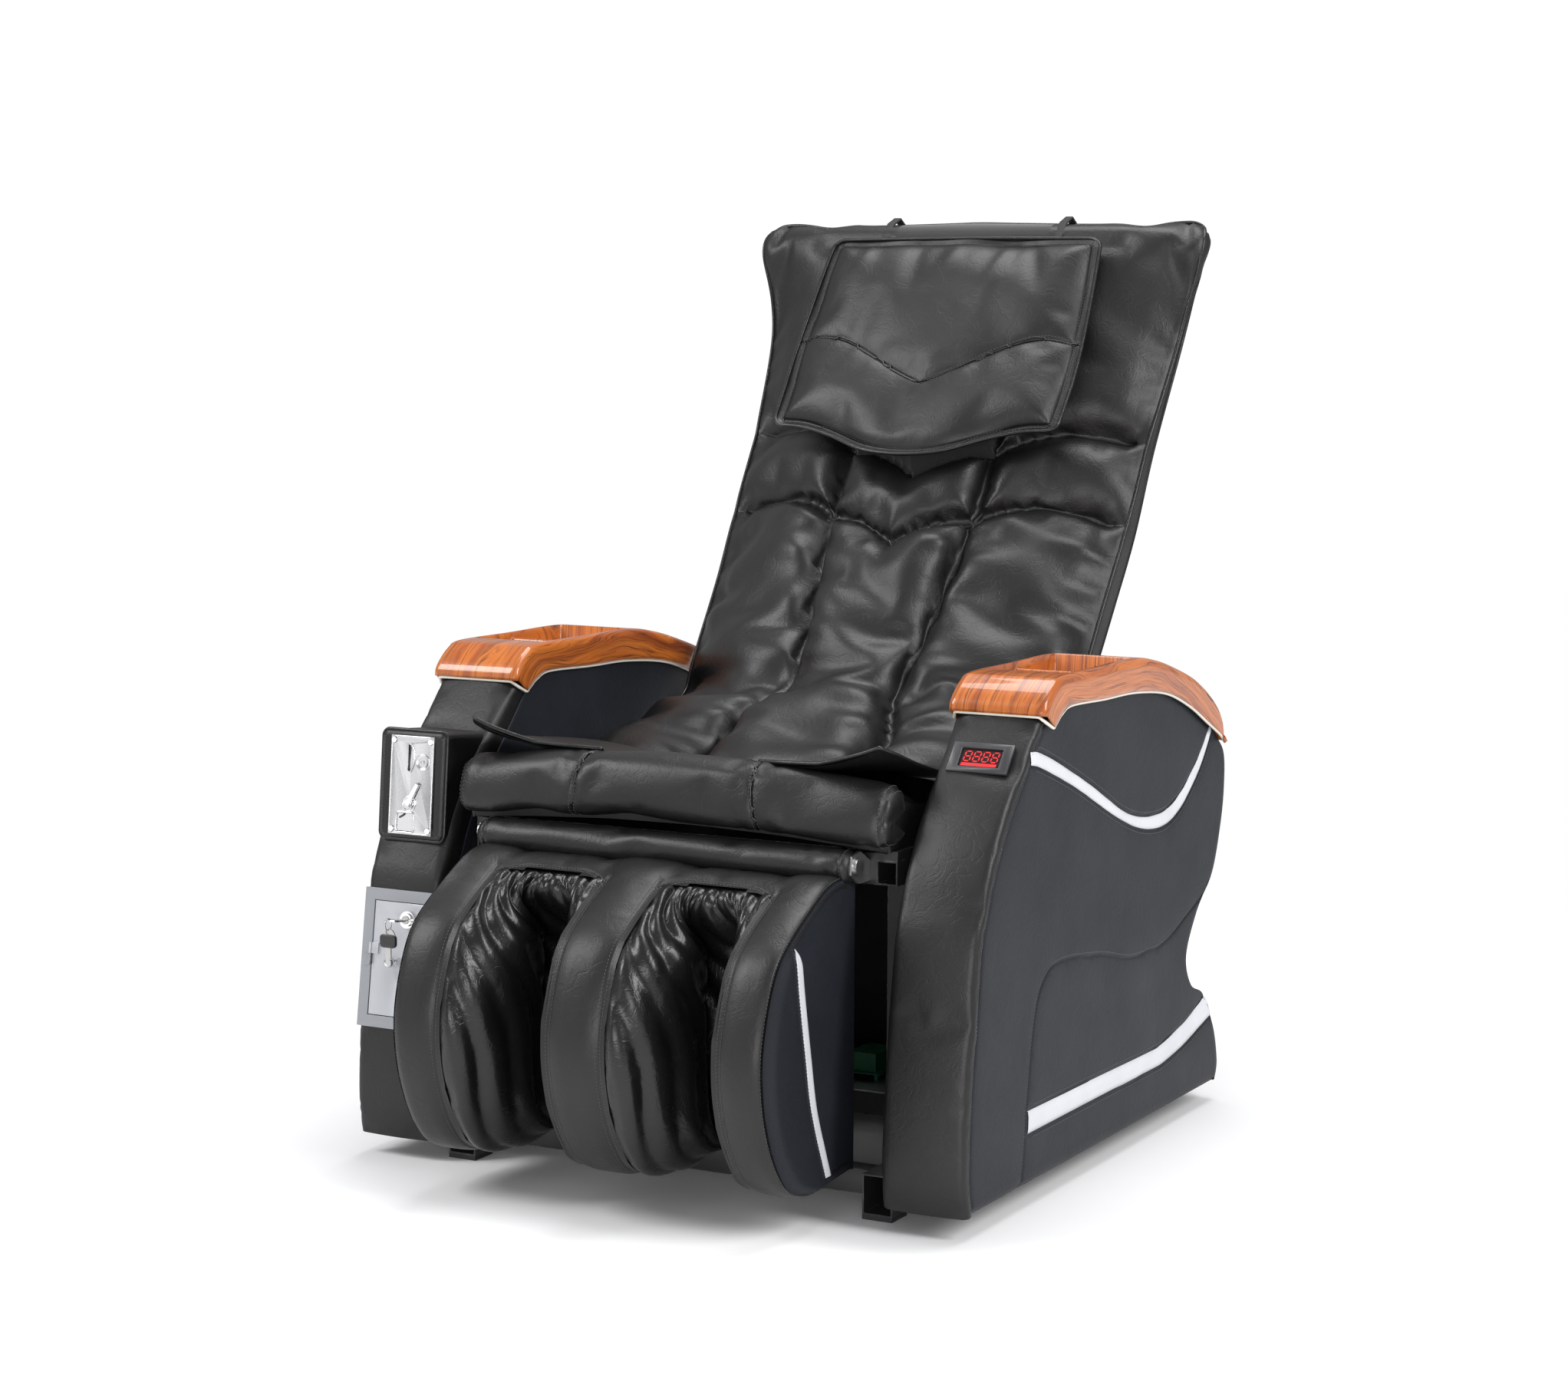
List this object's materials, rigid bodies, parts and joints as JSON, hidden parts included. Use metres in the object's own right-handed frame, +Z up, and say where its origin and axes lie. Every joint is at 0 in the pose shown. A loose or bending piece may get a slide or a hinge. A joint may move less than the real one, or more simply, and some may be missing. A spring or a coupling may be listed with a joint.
{
  "type": "massage chair",
  "caption": "Coin-operated massage chair: reclining padded back with massage carriage, calf rest, padded arms with wood-grain caps, coin box, cash door and timer display.",
  "frame": {"origin": "on the floor under the middle of the chair's outline", "axes": "+X to the occupant's left, +Y towards the back, +Z up"},
  "size_m": [0.885, 1.1998, 1.2176],
  "materials": {
    "frame_steel": "satin black powder coat",
    "zinc_steel": "zinc plated",
    "bright_steel": "bright brushed",
    "chrome": "polished",
    "black_leather": "satin",
    "side_leather": "matt",
    "cushion": "satin leather cloth over foam",
    "wood_grain": "gloss wood grain",
    "black_plastic": "moulded",
    "dark_gloss": "gloss",
    "red_window": "smoked red window",
    "door_grey": "satin grey",
    "door_light": "satin light grey",
    "rubber": "matt",
    "roller_tan": "matt",
    "circuit_green": "solder mask",
    "airbag_cloth": "coated cloth",
    "grey_plastic": "moulded"
  },
  "bodies": {
    "chair": {"base_frame_tubes": "frame_steel", "rubber_feet": "rubber", "seat_frame_tubes": "frame_steel", "seat_pan": "frame_steel", "seat_pad": "cushion", "seat_front_roll": "cushion", "seat_flaps": "black_leather", "frame_brackets": "zinc_steel", "pivot_pins": "zinc_steel", "recline_actuator": "grey_plastic", "left_arm_outer_panel": "side_leather", "left_arm_inner_panel": "side_leather", "left_arm_front_panel": "black_leather", "right_arm_outer_panel": "side_leather", "right_arm_inner_panel": "side_leather", "right_arm_front_panel": "black_leather", "arm_rear_panels": "black_leather", "left_arm_cap": "wood_grain", "right_arm_cap": "wood_grain", "usb_ports": "black_plastic", "display_bezel": "dark_gloss", "display_window": "red_window", "coin_box_housing": "black_leather", "coin_faceplate": "bright_steel", "screws_and_bolts": "chrome", "coin_mechanism": "grey_plastic", "cash_door_frame": "door_grey", "cash_tray": "zinc_steel", "floor_pan": "zinc_steel", "power_supply": "grey_plastic", "air_pump": "black_plastic", "circuit_boards": "circuit_green", "vibration_motor": "grey_plastic", "rear_cover": "black_plastic", "power_inlet": "black_plastic"},
    "backrest": {"back_frame": "frame_steel", "massage_rails": "zinc_steel", "screw_motor": "grey_plastic", "back_pad": "cushion", "back_shell": "black_plastic", "headrest_straps": "rubber"},
    "actuator_rod": {"recline_actuator_rod": "chrome"},
    "headrest": {"headrest_pad": "cushion"},
    "carriage": {"massage_carriage": "grey_plastic"},
    "screw": {"lead_screw": "bright_steel"},
    "yoke": {"kneading_yoke": "bright_steel"},
    "upper_rollers": {"upper_massage_rollers": "roller_tan"},
    "lower_rollers": {"lower_massage_rollers": "roller_tan"},
    "calf_rest": {"calf_frame": "frame_steel", "outer_calf_lobes": "cushion", "middle_calf_lobe": "cushion", "calf_airbags": "airbag_cloth", "hinge_roll": "cushion"},
    "cash_door": {"cash_door": "door_light", "lock_barrel": "chrome", "door_pull_knob": "chrome"},
    "lock": {"lock_key": "zinc_steel"},
    "spare_key": {"spare_key": "zinc_steel"},
    "return_lever": {"coin_return_lever": "chrome"},
    "return_flap": {"coin_return_flap": "bright_steel"}
  },
  "joints": [
    {"name": "recline", "type": "hinge", "parent": "chair", "child": "backrest", "pos_m": [0, 0.09, 0.455], "axis": [-1, 0, 0], "range_deg": [0, 30]},
    {"name": "rod_slide", "type": "slide", "parent": "chair", "child": "actuator_rod", "axis": [0, -1, 0], "range_m": [0, 0.05744]},
    {"name": "headrest_flip", "type": "hinge", "parent": "backrest", "child": "headrest", "pos_m": [0, 0.48491, 1.18602], "axis": [-1, 0, 0], "range_deg": [0, 100]},
    {"name": "massage_travel", "type": "slide", "parent": "backrest", "child": "carriage", "axis": [0, 0.515, 0.8572], "range_m": [-0.16, 0.255]},
    {"name": "screw_spin", "type": "hinge", "parent": "backrest", "child": "screw", "pos_m": [0, 0.38602, 0.74379], "axis": [0, 0.515, 0.8572], "range_deg": [-1932, 3072]},
    {"name": "kneading", "type": "hinge", "parent": "carriage", "child": "yoke", "pos_m": [0, 0.33457, 0.74553], "axis": [1, 0, 0], "range_deg": [-8, 8]},
    {"name": "upper_roller_spin", "type": "hinge", "parent": "yoke", "child": "upper_rollers", "pos_m": [0, 0.34661, 0.80246], "axis": [1, 0, 0], "continuous": true},
    {"name": "lower_roller_spin", "type": "hinge", "parent": "yoke", "child": "lower_rollers", "pos_m": [0, 0.28996, 0.70818], "axis": [1, 0, 0], "continuous": true},
    {"name": "calf_lift", "type": "hinge", "parent": "chair", "child": "calf_rest", "pos_m": [0, -0.383, 0.428], "axis": [-1, 0, 0], "range_deg": [0, 75]},
    {"name": "cash_door_hinge", "type": "hinge", "parent": "chair", "child": "cash_door", "pos_m": [-0.4155, -0.42212, 0.25814], "axis": [0, -0.1392, -0.9903], "range_deg": [0, 100]},
    {"name": "lock_turn", "type": "hinge", "parent": "cash_door", "child": "lock", "pos_m": [-0.362, -0.41964, 0.3103], "axis": [0, 0.9903, -0.1392], "range_deg": [0, 90]},
    {"name": "spare_key_swing", "type": "hinge", "parent": "lock", "child": "spare_key", "pos_m": [-0.362, -0.45642, 0.31083], "axis": [1, 0, 0], "range_deg": [-20, 25]},
    {"name": "return_lever_press", "type": "hinge", "parent": "chair", "child": "return_lever", "pos_m": [-0.378, -0.38807, 0.45453], "axis": [0, 0.9962, -0.0872], "range_deg": [0, 30], "stiffness_Nm_per_rad": 0.05},
    {"name": "return_flap_swing", "type": "hinge", "parent": "chair", "child": "return_flap", "pos_m": [-0.3835, -0.3852, 0.44143], "axis": [-1, 0, 0], "range_deg": [-40, 0]}
  ],
  "couplings": [
    {"joint": "rod_slide", "follows": "recline", "m_per_rad": 0.10875},
    {"joint": "screw_spin", "follows": "massage_travel", "rad_per_m": 209.44}
  ]
}
